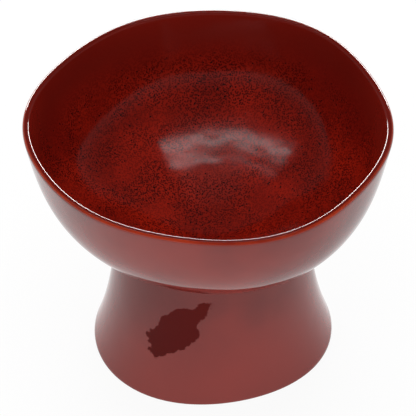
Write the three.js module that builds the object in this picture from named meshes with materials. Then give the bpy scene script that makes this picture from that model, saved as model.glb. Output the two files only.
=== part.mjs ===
// A hand-formed pedestal bowl in glazed stoneware: a deep round bowl on a tall, hollow, flared foot.
// The bowl and the foot are turned separately, seated on each other and luted with two coils of clay.
// Millimetres, +Z up. The foot ring stands on z = 0, and the middle of the outline is over the origin.
import * as THREE from "three";

// Driving dimensions of the bowl
const RIM_DIAMETER = 205;
const HEIGHT = 156;
const WALL_AT_LIP = 4.2;
const WALL_AT_NECK = 7;
const RIM_LEAN = THREE.MathUtils.degToRad(9.4); // how far the wall leans outward at the lip
const RIM_PULL = 43; // how far down the wall the lip's direction holds
const NECK_RISE = THREE.MathUtils.degToRad(30); // slope of the bowl's underside at the neck
const NECK_PULL = 43;
const UNDERSIDE_HEIGHT = 64; // middle of the bowl's underside above the table

// Driving dimensions of the foot and of the seam
const NECK_DIAMETER = 107.8;
const NECK_HEIGHT = 80.5;
const FOOT_DIAMETER = 141;
const FOOT_WALL = 6.5; // measured level
const FOOT_EDGE = 1.5; // rounding of the foot ring's two edges
const NECK_FLARE = THREE.MathUtils.degToRad(10); // of the foot from upright, at the neck
const BASE_FLARE = THREE.MathUtils.degToRad(21); // and at the table
const FOOT_PULL = 30;
const SPIGOT_DEPTH = 4; // how far the bowl's round bottom drops into the foot
const CLEARANCE = 0.3; // between the bowl's spigot, the foot's bore and the luting coils
const OUTER_COIL_LEG = 4; // how far each coil is smeared along the two walls beside it
const INNER_COIL_LEG = 6;
const COIL_HOLLOW = 0.45; // how far a coil's face is pressed in, as a share of the way to its corner

// The hand's unevenness: so many lobes round, their height, and the direction of one high point.
// Directions are counter-clockwise from +X, seen from above.
const RIM_WAVES = [
  { lobes: 2, height: 0.7, toward: -74 },
  { lobes: 3, height: 1.4, toward: 60 },
  { lobes: 4, height: 0.3, toward: 7 },
  { lobes: 5, height: 0.3, toward: -10 },
  { lobes: 6, height: 0.9, toward: -7 },
];
const BELLY_WAVES = [
  { lobes: 1, height: 0.3, toward: -12 },
  { lobes: 2, height: 0.25, toward: -66 },
  { lobes: 3, height: 1.05, toward: 59 },
];
const LIP_LEVEL_WAVES = [
  { lobes: 1, height: 0.7, toward: 110 },
  { lobes: 2, height: 0.35, toward: -71 },
];
const FOOT_WAVES = [
  { lobes: 1, height: 0.9, toward: -130 },
  { lobes: 2, height: 1.05, toward: 36 },
  { lobes: 3, height: 1.45, toward: -29 },
  { lobes: 4, height: 0.5, toward: -26 },
];

// Steps along each curve, and round the axis
const ROUND_STEPS = 60;
const WALL_STEPS = 11;
const FLOOR_STEPS = 5;
const LIP_STEPS = 5;
const FOOT_STEPS = 8;
const EDGE_STEPS = 2;
const COIL_STEPS = 3;

const RIM_RADIUS = RIM_DIAMETER / 2;
const NECK_RADIUS = NECK_DIAMETER / 2;
const FOOT_RADIUS = FOOT_DIAMETER / 2;
const LIP_RADIUS = WALL_AT_LIP / 2;
const SPIGOT_RADIUS = NECK_RADIUS - FOOT_WALL - CLEARANCE;
const SPIGOT_HEIGHT = NECK_HEIGHT - SPIGOT_DEPTH;
const FLOOR_HEIGHT = UNDERSIDE_HEIGHT + WALL_AT_NECK;

const glaze = { color: 0x5e1410, roughness: 0.12, metalness: 0 };
const innerGlaze = { color: 0x6e1812, roughness: 0.18, metalness: 0 };
const bareClay = { color: 0x8a5a40, roughness: 0.85, metalness: 0 };

const point = (radius, height) => new THREE.Vector2(radius, height);

// A point beside a curve, so far to the right of the way it runs. The outer curves below run upward,
// so their right side is outside the clay.
function beside(curve, t, distance) {
  const on = curve.getPoint(t);
  const along = curve.getTangent(t);
  return point(on.x + along.y * distance, on.y - along.x * distance);
}

// Fractions from 0 to 1 in so many steps
const fractions = (steps) => Array.from({ length: steps + 1 }, (_, i) => i / steps);

// The bowl's outer wall, from the neck up to where the lip's rounding starts
function bowlWall() {
  const neck = point(NECK_RADIUS, NECK_HEIGHT);
  const rim = point(RIM_RADIUS, HEIGHT - LIP_RADIUS * (1 + Math.sin(RIM_LEAN)));
  return new THREE.CubicBezierCurve(
    neck,
    point(neck.x + NECK_PULL * Math.cos(NECK_RISE), neck.y + NECK_PULL * Math.sin(NECK_RISE)),
    point(rim.x - RIM_PULL * Math.sin(RIM_LEAN), rim.y - RIM_PULL * Math.cos(RIM_LEAN)),
    rim,
  );
}

// A round bottom, from its level middle out to an edge that it reaches at the neck's slope
function roundBottom(middleHeight, edge) {
  const turn = edge.x - (edge.y - middleHeight) / Math.tan(NECK_RISE);
  return new THREE.QuadraticBezierCurve(point(0, middleHeight), point(turn, middleHeight), edge);
}

const underside = () => roundBottom(UNDERSIDE_HEIGHT, point(SPIGOT_RADIUS, SPIGOT_HEIGHT));

// One wall of the foot, from the table up to the neck, so far inside the outer wall
function footWall(inset) {
  const base = point(FOOT_RADIUS - inset, FOOT_EDGE);
  const neck = point(NECK_RADIUS - inset, NECK_HEIGHT);
  return new THREE.CubicBezierCurve(
    base,
    point(base.x - FOOT_PULL * Math.sin(BASE_FLARE), base.y + FOOT_PULL * Math.cos(BASE_FLARE)),
    point(neck.x + FOOT_PULL * Math.sin(NECK_FLARE), neck.y - FOOT_PULL * Math.cos(NECK_FLARE)),
    neck,
  );
}

// How far out, or up, a set of waves moves the clay in one direction
function waveHeight(waves, direction) {
  return waves.reduce((sum, { lobes, height, toward }) => {
    const fromHighPoint = direction - THREE.MathUtils.degToRad(toward);
    return sum + height * Math.cos(lobes * fromHighPoint);
  }, 0);
}

// Moves each vertex as the hands moved the soft clay. The neck stays round and the foot ring flat.
// The belly's waves are full height halfway up the wall, and the foot's at the table. The foot's waves
// also move what lies beside the foot's wall, but not the bowl's round bottom.
function handForm(geometry) {
  const footReach = SPIGOT_RADIUS + CLEARANCE / 2;
  const position = geometry.getAttribute("position");
  const vertex = new THREE.Vector3();
  for (let i = 0; i < position.count; i += 1) {
    vertex.fromBufferAttribute(position, i);
    const radius = Math.hypot(vertex.x, vertex.y);
    const direction = Math.atan2(vertex.y, vertex.x);
    const above = Math.max((vertex.z - NECK_HEIGHT) / (HEIGHT - NECK_HEIGHT), 0);
    const below = Math.max(1 - vertex.z / NECK_HEIGHT, 0);
    const outward =
      above * waveHeight(RIM_WAVES, direction) +
      4 * above * (1 - above) * waveHeight(BELLY_WAVES, direction);
    const footward = radius > footReach ? below * waveHeight(FOOT_WAVES, direction) : 0;
    const upward = above * above * waveHeight(LIP_LEVEL_WAVES, direction);
    const scale = radius > 0 ? (radius + outward + footward) / radius : 1;
    position.setXYZ(i, vertex.x * scale, vertex.y * scale, vertex.z + upward);
  }
}

// A profile of radius and height, counter-clockwise round the clay, turned about the axis
function turned(name, profile, material) {
  const geometry = new THREE.LatheGeometry(profile, ROUND_STEPS);
  geometry.rotateX(Math.PI / 2);
  handForm(geometry);
  geometry.computeVertexNormals();
  const mesh = new THREE.Mesh(geometry, new THREE.MeshStandardMaterial(material));
  mesh.name = name;
  return mesh;
}

function makeBowl() {
  const wall = bowlWall();
  const bottom = fractions(FLOOR_STEPS).map((t) => underside().getPoint(t));
  const seat = point(SPIGOT_RADIUS, NECK_HEIGHT);
  const outside = fractions(WALL_STEPS).map((t) => wall.getPoint(t));
  const lipCentre = beside(wall, 1, -LIP_RADIUS);
  const lip = fractions(LIP_STEPS)
    .slice(1, -1)
    .map((t) => {
      const turn = Math.PI * t - RIM_LEAN;
      return point(
        lipCentre.x + LIP_RADIUS * Math.cos(turn),
        lipCentre.y + LIP_RADIUS * Math.sin(turn),
      );
    });
  const inside = fractions(WALL_STEPS)
    .reverse()
    .map((t) => beside(wall, t, -THREE.MathUtils.lerp(WALL_AT_NECK, WALL_AT_LIP, t)));
  const floor = roundBottom(FLOOR_HEIGHT, inside.at(-1));
  const floorPoints = fractions(FLOOR_STEPS)
    .reverse()
    .slice(1)
    .map((t) => floor.getPoint(t));
  return turned("bowl", [...bottom, seat, ...outside, ...lip, ...inside, ...floorPoints], innerGlaze);
}

function makeFoot() {
  const outer = footWall(0);
  const inner = footWall(FOOT_WALL);
  const outerEdge = new THREE.QuadraticBezierCurve(
    point(FOOT_RADIUS - FOOT_EDGE, 0),
    point(FOOT_RADIUS, 0),
    outer.getPoint(0),
  );
  const innerEdge = new THREE.QuadraticBezierCurve(
    inner.getPoint(0),
    point(FOOT_RADIUS - FOOT_WALL, 0),
    point(FOOT_RADIUS - FOOT_WALL + FOOT_EDGE, 0),
  );
  const profile = [
    ...fractions(EDGE_STEPS).map((t) => outerEdge.getPoint(t)),
    ...fractions(FOOT_STEPS).slice(1).map((t) => outer.getPoint(t)),
    ...fractions(FOOT_STEPS).reverse().map((t) => inner.getPoint(t)),
    ...fractions(EDGE_STEPS).slice(1).map((t) => innerEdge.getPoint(t)),
    outerEdge.getPoint(0),
  ];
  return turned("foot", profile, glaze);
}

// The fraction of a curve that is so long
const fractionOf = (curve, length) => length / curve.getLength();

// A smeared coil's hollow face, from one leg's end to the other's, drawn in towards the corner
function hollowFace(from, to, corner) {
  const control = from.clone().add(to).multiplyScalar(0.5).lerp(corner, COIL_HOLLOW);
  const face = new THREE.QuadraticBezierCurve(from, control, to);
  return fractions(COIL_STEPS).map((t) => face.getPoint(t));
}

// The outer coil fills the corner between the bowl's wall and the foot's outer wall.
function makeOuterCoil() {
  const wall = bowlWall();
  const foot = footWall(0);
  const neck = wall.getPoint(0);
  const fromBowl = beside(wall, 0, CLEARANCE).sub(neck);
  const fromFoot = beside(foot, 1, CLEARANCE).sub(neck);
  const spread = 1 + fromBowl.dot(fromFoot) / CLEARANCE ** 2;
  const corner = neck.clone().add(fromBowl.add(fromFoot).divideScalar(spread));
  const bowlLeg = fractionOf(wall, OUTER_COIL_LEG);
  const footLeg = fractionOf(foot, OUTER_COIL_LEG);
  const footEnd = beside(foot, 1 - footLeg, CLEARANCE);
  const bowlEnd = beside(wall, bowlLeg, CLEARANCE);
  const profile = [corner, ...hollowFace(footEnd, bowlEnd, corner), corner];
  return turned("outer_luting_coil", profile, glaze);
}

// The inner coil fills the corner between the bowl's underside and the foot's bore.
function makeInnerCoil() {
  const bottom = underside();
  const bore = footWall(FOOT_WALL);
  const corner = beside(bore, 1 - fractionOf(bore, SPIGOT_DEPTH + 2 * CLEARANCE), -CLEARANCE);
  const bottomEnd = beside(bottom, 1 - fractionOf(bottom, INNER_COIL_LEG), CLEARANCE);
  const boreEnd = beside(
    bore,
    1 - fractionOf(bore, SPIGOT_DEPTH + INNER_COIL_LEG),
    -CLEARANCE,
  );
  const profile = [corner, ...hollowFace(bottomEnd, boreEnd, corner), corner];
  return turned("inner_luting_coil", profile, bareClay);
}

const pieces = new THREE.Group();
pieces.add(makeBowl(), makeFoot(), makeOuterCoil(), makeInnerCoil());
const outlineMiddle = new THREE.Box3().setFromObject(pieces).getCenter(new THREE.Vector3());
pieces.position.set(-outlineMiddle.x, -outlineMiddle.y, 0);

const footedBowl = new THREE.Group();
footedBowl.add(pieces);

export default footedBowl;
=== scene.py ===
"""A glazed stoneware pedestal bowl on a white sweep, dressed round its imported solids.

Metres, +Z up. The fine meshes are turned from the same profiles as the solids, and keep their waves.
"""

from math import atan2, cos, hypot, pi, radians, sin, tan

import bpy
from mathutils import Matrix, Vector


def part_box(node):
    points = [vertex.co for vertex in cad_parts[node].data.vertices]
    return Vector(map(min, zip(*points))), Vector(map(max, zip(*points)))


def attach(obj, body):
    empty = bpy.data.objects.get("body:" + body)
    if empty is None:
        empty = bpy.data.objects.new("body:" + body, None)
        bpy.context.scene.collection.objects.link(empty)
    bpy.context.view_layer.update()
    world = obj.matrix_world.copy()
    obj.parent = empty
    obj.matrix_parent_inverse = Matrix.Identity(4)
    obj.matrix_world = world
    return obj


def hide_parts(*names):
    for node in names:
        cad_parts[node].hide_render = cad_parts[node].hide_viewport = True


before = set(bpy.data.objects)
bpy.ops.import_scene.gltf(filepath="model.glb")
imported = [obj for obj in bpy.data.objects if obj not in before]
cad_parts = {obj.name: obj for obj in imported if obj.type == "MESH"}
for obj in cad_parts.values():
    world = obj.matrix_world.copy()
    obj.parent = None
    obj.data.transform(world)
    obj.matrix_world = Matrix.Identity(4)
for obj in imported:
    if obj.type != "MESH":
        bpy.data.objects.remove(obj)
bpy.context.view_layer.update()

MM = 0.001

# The bowl, the foot and their waves, as in the solids
RIM_RADIUS = 102.5 * MM
HEIGHT = 156 * MM
WALL_AT_LIP = 4.2 * MM
WALL_AT_NECK = 7 * MM
RIM_LEAN = radians(9.4)
RIM_PULL = 43 * MM
NECK_RISE = radians(30)
NECK_PULL = 43 * MM
UNDERSIDE_HEIGHT = 64 * MM
NECK_RADIUS = 53.9 * MM
NECK_HEIGHT = 80.5 * MM
FOOT_RADIUS = 70.5 * MM
FOOT_WALL = 6.5 * MM
FOOT_EDGE = 1.5 * MM
NECK_FLARE = radians(10)
BASE_FLARE = radians(21)
FOOT_PULL = 30 * MM
SPIGOT_DEPTH = 4 * MM
CLEARANCE = 0.3 * MM
OUTER_COIL_LEG = 4 * MM
INNER_COIL_LEG = 6 * MM

# Lobes round, height, and the direction of one high point in degrees
RIM_WAVES = ((2, 0.7 * MM, -74), (3, 1.4 * MM, 60), (4, 0.3 * MM, 7), (5, 0.3 * MM, -10), (6, 0.9 * MM, -7))
BELLY_WAVES = ((1, 0.3 * MM, -12), (2, 0.25 * MM, -66), (3, 1.05 * MM, 59))
LIP_LEVEL_WAVES = ((1, 0.7 * MM, 110), (2, 0.35 * MM, -71))
FOOT_WAVES = ((1, 0.9 * MM, -130), (2, 1.05 * MM, 36), (3, 1.45 * MM, -29), (4, 0.5 * MM, -26))

ROUND_STEPS = 300
WALL_STEPS = 60
FLOOR_STEPS = 30
LIP_STEPS = 16
EDGE_STEPS = 6
COIL_STEPS = 10

LIP_RADIUS = WALL_AT_LIP / 2
SPIGOT_RADIUS = NECK_RADIUS - FOOT_WALL - CLEARANCE
SPIGOT_HEIGHT = NECK_HEIGHT - SPIGOT_DEPTH
FLOOR_HEIGHT = UNDERSIDE_HEIGHT + WALL_AT_NECK
COIL_SINK = 0.25 * MM  # how far the fired seam's edges melt into the clay beside them

# The neck is the one part that stayed round, so the middle of its coil is the axis.
coil_low, coil_high = (Vector(corner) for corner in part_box("outer_luting_coil"))
AXIS = (coil_low + coil_high) / 2


# Curves in radius and height

def bezier(points, t):
    """The point of a Bezier curve at the fraction t."""
    points = [Vector(p) for p in points]
    while len(points) > 1:
        points = [a.lerp(b, t) for a, b in zip(points, points[1:])]
    return points[0]


def direction(points, t):
    step = 1e-4
    return (bezier(points, min(t + step, 1)) - bezier(points, max(t - step, 0))).normalized()


def beside(points, t, distance):
    """A point so far to the right of a curve. The outer curves run upward, so that is outside the clay."""
    along = direction(points, t)
    return bezier(points, t) + Vector((along.y, -along.x)) * distance


def fractions(steps):
    return [i / steps for i in range(steps + 1)]


def length_of(points):
    places = [bezier(points, t) for t in fractions(40)]
    return sum((b - a).length for a, b in zip(places, places[1:]))


def bowl_wall():
    rim_height = HEIGHT - LIP_RADIUS * (1 + sin(RIM_LEAN))
    return (
        (NECK_RADIUS, NECK_HEIGHT),
        (NECK_RADIUS + NECK_PULL * cos(NECK_RISE), NECK_HEIGHT + NECK_PULL * sin(NECK_RISE)),
        (RIM_RADIUS - RIM_PULL * sin(RIM_LEAN), rim_height - RIM_PULL * cos(RIM_LEAN)),
        (RIM_RADIUS, rim_height),
    )


def round_bottom(middle_height, edge):
    turn = edge[0] - (edge[1] - middle_height) / tan(NECK_RISE)
    return ((0, middle_height), (turn, middle_height), tuple(edge))


def underside():
    return round_bottom(UNDERSIDE_HEIGHT, (SPIGOT_RADIUS, SPIGOT_HEIGHT))


def foot_wall(inset):
    base = (FOOT_RADIUS - inset, FOOT_EDGE)
    neck = (NECK_RADIUS - inset, NECK_HEIGHT)
    return (
        base,
        (base[0] - FOOT_PULL * sin(BASE_FLARE), base[1] + FOOT_PULL * cos(BASE_FLARE)),
        (neck[0] + FOOT_PULL * sin(NECK_FLARE), neck[1] - FOOT_PULL * cos(NECK_FLARE)),
        neck,
    )


# The hand's unevenness

def wave_height(waves, around):
    return sum(height * cos(lobes * (around - radians(toward))) for lobes, height, toward in waves)


def hand_formed(radius, height, around):
    above = max((height - NECK_HEIGHT) / (HEIGHT - NECK_HEIGHT), 0)
    below = max(1 - height / NECK_HEIGHT, 0)
    outward = above * wave_height(RIM_WAVES, around)
    outward += 4 * above * (1 - above) * wave_height(BELLY_WAVES, around)
    if radius > SPIGOT_RADIUS + CLEARANCE / 2:
        outward += below * wave_height(FOOT_WAVES, around)
    upward = above * above * wave_height(LIP_LEVEL_WAVES, around)
    if radius == 0:
        return Vector((AXIS.x, AXIS.y, height + upward))
    reach = radius + outward
    return Vector((AXIS.x + reach * cos(around), AXIS.y + reach * sin(around), height + upward))


def along_profile(profile, first, last):
    """The length of the profile between two of its points."""
    low, high = min(first, last), max(first, last)
    steps = zip(profile[low:high], profile[low + 1:high + 1])
    return sum(hypot(b[0] - a[0], b[1] - a[1]) for a, b in steps)


def turned(name, profile, material, node):
    """Turns a profile of (radius, height, inside) about the axis and swaps it for its solid.

    inside is 1 on the side of the glaze that faces into the bowl. A profile that doesn't meet the axis closes
    on itself. The mesh also keeps how far along the clay each point is from the crest of the lip, more than 0
    on the inner side.
    """
    vertices, inside, from_lip, rings = [], [], [], []
    crest = max(range(len(profile)), key=lambda i: profile[i][1])
    for place, (radius, height, facing_in) in enumerate(profile):
        side = 1 if place > crest else -1
        lip_distance = side * along_profile(profile, crest, place) if node == "bowl" else -1.0
        count = 1 if radius == 0 else ROUND_STEPS
        rings.append([len(vertices) + i for i in range(count)])
        for i in range(count):
            vertices.append(hand_formed(radius, height, 2 * pi * i / ROUND_STEPS))
            inside.append(facing_in)
            from_lip.append(lip_distance)
    closed = profile[0][0] > 0
    pairs = list(zip(rings, rings[1:] + rings[:1])) if closed else list(zip(rings, rings[1:]))
    faces = []
    for low, high in pairs:
        for i in range(ROUND_STEPS):
            j = (i + 1) % ROUND_STEPS
            if len(low) == 1:
                faces.append((low[0], high[j], high[i]))
            elif len(high) == 1:
                faces.append((low[i], low[j], high[0]))
            else:
                faces.append((low[i], low[j], high[j], high[i]))
    mesh = bpy.data.meshes.new(name)
    mesh.from_pydata(vertices, [], faces)
    mesh.attributes.new("inside", "FLOAT", "POINT").data.foreach_set("value", inside)
    mesh.attributes.new("from_lip", "FLOAT", "POINT").data.foreach_set("value", from_lip)
    mesh.shade_smooth()
    mesh.materials.append(material)
    piece = bpy.data.objects.new(name, mesh)
    bpy.context.scene.collection.objects.link(piece)
    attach(piece, "root")
    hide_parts(node)
    return piece


def profile_of(places, facing_in=0):
    return [(p[0], p[1], facing_in) for p in places]


def make_bowl(material):
    wall = bowl_wall()
    bottom = [bezier(underside(), t) for t in fractions(FLOOR_STEPS)]
    seat = [Vector((SPIGOT_RADIUS, NECK_HEIGHT))]
    outside = [bezier(wall, t) for t in fractions(WALL_STEPS)]
    centre = beside(wall, 1, -LIP_RADIUS)
    turns = [pi * t - RIM_LEAN for t in fractions(LIP_STEPS)[1:-1]]
    lip = [(centre.x + LIP_RADIUS * cos(a), centre.y + LIP_RADIUS * sin(a), i / LIP_STEPS)
           for i, a in enumerate(turns, 1)]
    inner = [beside(wall, t, -(WALL_AT_NECK + (WALL_AT_LIP - WALL_AT_NECK) * t))
             for t in reversed(fractions(WALL_STEPS))]
    floor_curve = round_bottom(FLOOR_HEIGHT, inner[-1])
    floor = [bezier(floor_curve, t) for t in reversed(fractions(FLOOR_STEPS)[:-1])]
    profile = profile_of(bottom + seat + outside) + lip + profile_of(inner + floor, 1)
    return turned("glazed_bowl", profile, material, "bowl")


def make_foot(material):
    outer = foot_wall(0)
    inner = foot_wall(FOOT_WALL)
    outer_edge = ((FOOT_RADIUS - FOOT_EDGE, 0), (FOOT_RADIUS, 0), outer[0])
    inner_edge = (inner[0], (FOOT_RADIUS - FOOT_WALL, 0), (FOOT_RADIUS - FOOT_WALL + FOOT_EDGE, 0))
    places = [bezier(outer_edge, t) for t in fractions(EDGE_STEPS)]
    places += [bezier(outer, t) for t in fractions(WALL_STEPS)[1:]]
    places += [bezier(inner, t) for t in reversed(fractions(WALL_STEPS))]
    places += [bezier(inner_edge, t) for t in fractions(EDGE_STEPS)[1:]]
    return turned("glazed_foot", profile_of(places), material, "foot")


def hollow_face(start, end, corner, draw):
    control = ((start + end) / 2).lerp(corner, draw)
    return [bezier((start, control, end), t) for t in fractions(COIL_STEPS)]


def make_outer_coil(material):
    wall, foot = bowl_wall(), foot_wall(0)
    corner = Vector((NECK_RADIUS - COIL_SINK, NECK_HEIGHT))
    foot_end = beside(foot, 1 - OUTER_COIL_LEG / length_of(foot), -COIL_SINK)
    bowl_end = beside(wall, OUTER_COIL_LEG / length_of(wall), -COIL_SINK)
    places = [corner] + hollow_face(foot_end, bowl_end, Vector((NECK_RADIUS, NECK_HEIGHT)), 0.8)
    return turned("glazed_outer_seam", profile_of(places), material, "outer_luting_coil")


def make_inner_coil(material):
    bottom, bore = underside(), foot_wall(FOOT_WALL)
    corner = beside(bore, 1 - (SPIGOT_DEPTH + 2 * CLEARANCE) / length_of(bore), CLEARANCE)
    bottom_end = beside(bottom, 1 - INNER_COIL_LEG / length_of(bottom), -COIL_SINK)
    bore_end = beside(bore, 1 - (SPIGOT_DEPTH + INNER_COIL_LEG) / length_of(bore), COIL_SINK)
    places = [corner] + hollow_face(bottom_end, bore_end, corner, 0.55)
    return turned("smeared_inner_seam", profile_of(places), material, "inner_luting_coil")


# Materials

class Nodes:
    """Shader nodes of one material, made and joined by short calls."""

    def __init__(self, name):
        self.material = bpy.data.materials.new(name)
        self.material.use_nodes = True
        self.tree = self.material.node_tree
        self.shader = self.tree.nodes["Principled BSDF"]
        self.place = self.add("TEX_COORD").outputs["Object"]

    def add(self, kind, inputs=None, **settings):
        names = {"TEX_COORD": "ShaderNodeTexCoord", "NOISE": "ShaderNodeTexNoise",
                 "VORONOI": "ShaderNodeTexVoronoi", "RANGE": "ShaderNodeMapRange",
                 "MATH": "ShaderNodeMath", "MIX": "ShaderNodeMix", "BUMP": "ShaderNodeBump",
                 "ATTRIBUTE": "ShaderNodeAttribute", "SPLIT": "ShaderNodeSeparateXYZ",
                 "MAPPING": "ShaderNodeMapping", "VECTOR_MATH": "ShaderNodeVectorMath"}
        node = self.tree.nodes.new(names[kind])
        for key, value in settings.items():
            setattr(node, key, value)
        for key, value in (inputs or {}).items():
            self.feed(node.inputs[key], value)
        return node

    def feed(self, socket, value):
        if isinstance(value, bpy.types.NodeSocket):
            self.tree.links.new(value, socket)
        else:
            socket.default_value = value

    def noise(self, scale, detail=2.0, roughness=0.5):
        inputs = {"Vector": self.place, "Scale": scale, "Detail": detail, "Roughness": roughness}
        return self.add("NOISE", inputs).outputs["Fac"]

    def ramp(self, value, low, high, to_low=0.0, to_high=1.0):
        inputs = {"Value": value, "From Min": low, "From Max": high, "To Min": to_low, "To Max": to_high}
        return self.add("RANGE", inputs, interpolation_type="SMOOTHSTEP").outputs["Result"]

    def maths(self, operation, a, b):
        return self.add("MATH", {0: a, 1: b}, operation=operation).outputs[0]

    def blend(self, share, a, b):
        node = self.add("MIX", data_type="RGBA")
        self.feed(node.inputs["Factor"], share)
        self.feed(node.inputs[6], a)
        self.feed(node.inputs[7], b)
        return node.outputs[2]

    def set(self, name, value):
        self.feed(self.shader.inputs[name], value)

    def bump(self, height, distance, strength=1.0):
        inputs = {"Height": height, "Distance": distance, "Strength": strength}
        self.set("Normal", self.add("BUMP", inputs).outputs["Normal"])


def linear(red, green, blue):
    """A colour as a shader reads it, from its 0 to 255 values on a screen."""
    def channel(value):
        value /= 255
        return value / 12.92 if value <= 0.04045 else ((value + 0.055) / 1.055) ** 2.4
    return (channel(red), channel(green), channel(blue), 1.0)


DEEP_MAROON = linear(100, 22, 17)
WARM_RED = linear(128, 32, 23)
FOOT_RED = linear(146, 40, 30)
# the darker red of the patch on the front left of the foot
DARK_PATCH_RED = linear(84, 7, 3)
INNER_RED = linear(176, 34, 16)
INNER_DEEP = linear(140, 24, 12)
WALL_MAROON = linear(116, 24, 16)
SPECK_BROWN = linear(82, 12, 8)
SPECK_BLACK = linear(20, 10, 10)
LIP_MAROON = linear(104, 20, 12)
BREAK_ORANGE = linear(166, 50, 22)
CLAY = linear(168, 128, 98)
CLAY_DARK = linear(128, 92, 68)

FINE_SPECK_PITCH = 1.1 * MM
LARGE_SPECK_PITCH = 3.2 * MM
SPECK_TOP, SPECK_FULL = 148 * MM, 112 * MM  # the specks start below the first and are full at the second
INNER_ROUGHNESS = 0.13  # the specks keep the inside from being as smooth as the lip

# How far from the crest of the lip, outside, the thin glaze turns orange and turns red again
BREAK_START, BREAK_END = 0.8 * MM, 3.2 * MM
BREAK_FADE_IN, BREAK_FADE_OUT = 0.6 * MM, 0.8 * MM

# How high the foot ring is wiped, and how much its line wanders
WIPE_HEIGHT, WIPE_FADE, WIPE_WANDER = 1.2 * MM, 0.3 * MM, 0.8 * MM

# The dark patch on the front left of the foot, darker red and less glossy: its middle, half its size and its
# lean
DARK_PATCH_MIDDLE = (-21 * MM, -55 * MM, 46 * MM)
DARK_PATCH_REACH = (29 * MM, 30 * MM, 12 * MM)
DARK_PATCH_LEAN = radians(-47)


def specked_inside(n, height):
    """The red of the inside, brighter on the floor, with iron specks densest there."""
    low_down = n.ramp(height, SPECK_TOP, SPECK_FULL)
    red = n.blend(n.ramp(n.noise(22.0, 3.0), 0.35, 0.68), INNER_DEEP, INNER_RED)
    red = n.blend(low_down, WALL_MAROON, red)
    fine = n.add("VORONOI", {"Vector": n.place, "Scale": 1 / FINE_SPECK_PITCH, "Randomness": 1.0})
    fine_speck = n.ramp(fine.outputs["Distance"], 0.62, 0.36)
    fine_share = n.maths("MULTIPLY", n.ramp(n.noise(55.0, 3.0), 0.3, 0.6, 0.45, 1.0),
                         n.ramp(low_down, 0.0, 0.8, 0.12, 0.95))
    red = n.blend(n.maths("MULTIPLY", fine_speck, fine_share), red, SPECK_BROWN)
    large = n.add("VORONOI", {"Vector": n.place, "Scale": 1 / LARGE_SPECK_PITCH, "Randomness": 1.0})
    large_speck = n.ramp(large.outputs["Distance"], 0.2, 0.12)
    large_share = n.ramp(low_down, 0.1, 0.7, 0.0, 0.95)
    return n.blend(n.maths("MULTIPLY", large_speck, large_share), red, SPECK_BLACK)


def dark_patch(n):
    """1 in the dark patch on the front left of the foot, with a ragged edge."""
    inputs = {"Vector": n.place, "Location": DARK_PATCH_MIDDLE, "Rotation": (0, DARK_PATCH_LEAN, 0), "Scale": DARK_PATCH_REACH}
    mapped = n.add("MAPPING", inputs, vector_type="TEXTURE").outputs["Vector"]
    away = n.add("VECTOR_MATH", {0: mapped}, operation="LENGTH").outputs["Value"]
    ragged = n.maths("ADD", away, n.maths("MULTIPLY", n.noise(70.0, 4.0, 0.6), 1.1))
    return n.ramp(ragged, 1.42, 1.36)


def glaze_material():
    n = Nodes("red_glaze")
    height = n.add("SPLIT", {"Vector": n.place}).outputs["Z"]
    inside = n.add("ATTRIBUTE", attribute_name="inside").outputs["Fac"]
    from_lip = n.add("ATTRIBUTE", attribute_name="from_lip").outputs["Fac"]
    outer = n.blend(n.ramp(n.noise(14.0, 3.0), 0.35, 0.7), DEEP_MAROON, WARM_RED)
    outer = n.blend(n.ramp(height, 70 * MM, 0.0, 0.0, 0.8), outer, FOOT_RED)
    # A dark patch on the front left of the foot: darker red there, and it reflects less.
    dark_patch_mask = dark_patch(n)
    outer = n.blend(dark_patch_mask, outer, DARK_PATCH_RED)
    colour = n.blend(inside, outer, specked_inside(n, height))
    n.set("Specular IOR Level", n.ramp(dark_patch_mask, 0.0, 1.0, 0.5, 0.1))

    # The glaze pools dark on the crest of the lip, and runs thin and orange just outside it.
    crest = n.ramp(n.maths("ABSOLUTE", from_lip, 0.0), 3.0 * MM, 1.0 * MM)
    colour = n.blend(crest, colour, LIP_MAROON)
    outward = n.maths("MULTIPLY", from_lip, -1.0)
    thin = n.maths("MULTIPLY", n.ramp(outward, BREAK_START, BREAK_START + BREAK_FADE_IN),
                   n.ramp(outward, BREAK_END, BREAK_END - BREAK_FADE_OUT))
    broken = n.maths("MULTIPLY", thin, n.ramp(n.noise(45.0, 3.0), 0.25, 0.65, 0.35, 0.95))
    colour = n.blend(broken, colour, BREAK_ORANGE)

    # The foot ring is wiped clean.
    wiped = n.maths("ADD", height, n.maths("MULTIPLY", n.noise(80.0, 2.0), WIPE_WANDER))
    bare = n.ramp(wiped, WIPE_HEIGHT, WIPE_HEIGHT - WIPE_FADE)
    n.set("Base Color", n.blend(bare, colour, CLAY))
    gloss = n.ramp(n.noise(120.0, 2.0), 0.3, 0.7, 0.04, 0.08)
    inner_gloss = n.maths("MULTIPLY", n.ramp(from_lip, 3 * MM, 14 * MM, 0.0, INNER_ROUGHNESS), inside)
    gloss = n.maths("MAXIMUM", gloss, inner_gloss)
    n.set("Roughness", n.maths("MAXIMUM", gloss, n.maths("MULTIPLY", bare, 0.8)))
    n.set("IOR", 1.5)
    waver = n.maths("ADD", n.noise(45.0, 2.0), n.maths("MULTIPLY", n.noise(400.0, 2.0), 0.04))
    n.bump(waver, 0.5 * MM, 0.5)
    return n.material


def clay_material():
    n = Nodes("bare_clay")
    grain = n.noise(900.0, 4.0, 0.7)
    n.set("Base Color", n.blend(n.ramp(grain, 0.35, 0.7), CLAY_DARK, CLAY))
    n.set("Roughness", n.ramp(n.noise(300.0), 0.3, 0.7, 0.75, 0.95))
    n.bump(grain, 0.15 * MM, 0.6)
    return n.material


# The stage: a white sweep that the camera sees as white, strip lights overhead and low behind, and soft fills

FLOOR_SIDE = 6.0
FLOOR_SHADOW_SHARE = 0.06  # how much of the floor's own shading the camera and the gloss see


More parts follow.
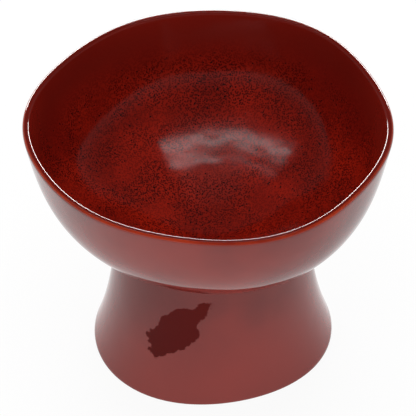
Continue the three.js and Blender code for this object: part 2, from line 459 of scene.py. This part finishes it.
def stage_plane(name, width, depth, place, material):
    mesh = bpy.data.meshes.new(name)
    x, y = width / 2, depth / 2
    mesh.from_pydata([(-x, -y, 0), (x, -y, 0), (x, y, 0), (-x, y, 0)], [], [(0, 1, 2, 3)])
    mesh.materials.append(material)
    plane = bpy.data.objects.new(name, mesh)
    plane.location = place
    bpy.context.scene.collection.objects.link(plane)
    return plane


def floor_material():
    material = bpy.data.materials.new("white_sweep")
    material.use_nodes = True
    tree = material.node_tree
    shader = tree.nodes["Principled BSDF"]
    shader.inputs["Base Color"].default_value = (0.9, 0.9, 0.9, 1)
    shader.inputs["Roughness"].default_value = 0.9
    glow = tree.nodes.new("ShaderNodeEmission")
    glow.inputs["Strength"].default_value = 1.0
    rays = tree.nodes.new("ShaderNodeLightPath")
    share = tree.nodes.new("ShaderNodeMath")
    share.operation = "MULTIPLY"
    share.inputs[1].default_value = 1 - FLOOR_SHADOW_SHARE
    seen = tree.nodes.new("ShaderNodeMath")
    seen.operation = "MAXIMUM"
    tree.links.new(rays.outputs["Is Camera Ray"], seen.inputs[0])
    tree.links.new(rays.outputs["Is Glossy Ray"], seen.inputs[1])
    tree.links.new(seen.outputs[0], share.inputs[0])
    mix = tree.nodes.new("ShaderNodeMixShader")
    tree.links.new(share.outputs[0], mix.inputs[0])
    tree.links.new(shader.outputs[0], mix.inputs[1])
    tree.links.new(glow.outputs[0], mix.inputs[2])
    tree.links.new(mix.outputs[0], tree.nodes["Material Output"].inputs["Surface"])
    return material


# The studio is dark, and a little lighter near the floor. It fades between two angles above the floor.
SKY_NEAR_FLOOR, SKY_OVERHEAD = 0.2, 0.06
SKY_FADE_START, SKY_FADE_END = radians(12), radians(40)


def set_world():
    world = bpy.data.worlds.new("studio")
    world.use_nodes = True
    tree = world.node_tree
    sky = tree.nodes["Background"]
    sky.inputs["Color"].default_value = (1, 1, 1, 1)
    place = tree.nodes.new("ShaderNodeTexCoord")
    split = tree.nodes.new("ShaderNodeSeparateXYZ")
    tree.links.new(place.outputs["Generated"], split.inputs[0])
    ramp = tree.nodes.new("ShaderNodeMapRange")
    ramp.interpolation_type = "SMOOTHSTEP"
    for name, value in (("From Min", sin(SKY_FADE_START)), ("From Max", sin(SKY_FADE_END)),
                        ("To Min", SKY_NEAR_FLOOR), ("To Max", SKY_OVERHEAD)):
        ramp.inputs[name].default_value = value
    tree.links.new(split.outputs["Z"], ramp.inputs["Value"])
    rays = tree.nodes.new("ShaderNodeLightPath")
    seen = tree.nodes.new("ShaderNodeMath")
    seen.operation = "MAXIMUM"
    tree.links.new(ramp.outputs["Result"], seen.inputs[0])
    tree.links.new(rays.outputs["Is Camera Ray"], seen.inputs[1])
    tree.links.new(seen.outputs[0], sky.inputs["Strength"])
    bpy.context.scene.world = world


def add_strip(name, place, aim, width, depth, strength):
    """A strip light so wide and deep, whose face is so many times as bright as white paper."""
    light = bpy.data.lights.new(name, "AREA")
    light.shape = "RECTANGLE"
    light.size = width
    light.size_y = depth
    light.energy = 4 * width * depth * strength
    lamp = bpy.data.objects.new(name, light)
    lamp.location = place
    lamp.rotation_euler = (Vector(aim) - Vector(place)).to_track_quat("-Z", "Y").to_euler()
    bpy.context.scene.collection.objects.link(lamp)
    return lamp


def add_fill(name, place, width, depth, strength):
    """A softbox that fills the shade and is hidden from reflections."""
    lamp = add_strip(name, place, (0, 0, 0.06), width, depth, strength)
    lamp.visible_glossy = False
    return lamp


# A strip light overhead, bent as the crescent inside the bowl shows it, where it is from right to left
STRIP_HEIGHT = 1.1
STRIP_DEPTH = 0.04
STRIP_STRENGTH = 4
STRIP_BENDS = ((0.45, 0.0), (0.12, -0.13), (-0.16, -0.12), (-0.46, 0.06), (-0.77, 0.34))


def add_bent_strip():
    for number, (start, end) in enumerate(zip(STRIP_BENDS, STRIP_BENDS[1:]), 1):
        start, end = Vector(start), Vector(end)
        middle = (start + end) / 2
        above = (middle.x, middle.y, STRIP_HEIGHT)
        below = (middle.x, middle.y, 0)
        length = (end - start).length
        lamp = add_strip(f"bent_strip_{number}", above, below, length, STRIP_DEPTH, STRIP_STRENGTH)
        lamp.rotation_euler = (0, 0, atan2(end.y - start.y, end.x - start.x))


# The camera looks down 41 degrees from 1.28 m away, level to within about a degree.
CAMERA_RISE = radians(41)
CAMERA_ROLL = radians(1.23)
CAMERA_AWAY = 1.281
CAMERA_LENS = 193.2
CAMERA_AIM = AXIS + Vector((-2.0 * MM, 0, 90.5 * MM - AXIS.z))


def add_camera():
    data = bpy.data.cameras.new("camera")
    data.lens = CAMERA_LENS
    data.sensor_width = 36
    camera = bpy.data.objects.new("camera", data)
    back = Vector((0, -cos(CAMERA_RISE), sin(CAMERA_RISE)))
    up = Vector((0, sin(CAMERA_RISE), cos(CAMERA_RISE)))
    right = Vector((1, 0, 0))
    rolled_right = right * cos(CAMERA_ROLL) - up * sin(CAMERA_ROLL)
    rolled_up = right * sin(CAMERA_ROLL) + up * cos(CAMERA_ROLL)
    place = CAMERA_AIM + back * CAMERA_AWAY
    turn = Matrix((rolled_right, rolled_up, back)).transposed().to_4x4()
    camera.matrix_world = Matrix.Translation(place) @ turn
    bpy.context.scene.collection.objects.link(camera)
    bpy.context.scene.camera = camera


add_camera()
glaze = glaze_material()
make_bowl(glaze)
make_foot(glaze)
make_outer_coil(glaze)
make_inner_coil(clay_material())

stage_plane("floor", FLOOR_SIDE, FLOOR_SIDE, (0, 0, -0.0002), floor_material())
set_world()
add_bent_strip()
add_fill("overhead_fill", (0, 0, 1.5), 0.9, 0.9, 3.0)
add_fill("left_fill", (-1.0, -1.2, 0.26), 1.0, 0.5, 4.5)
add_fill("right_fill", (1.0, -1.2, 0.26), 1.0, 0.5, 4.5)
add_strip("back_strip", (0, 1.3, 0.45), (0, 0, 0.12), 1.8, 0.22, 18)

bpy.context.scene.view_settings.view_transform = "Standard"
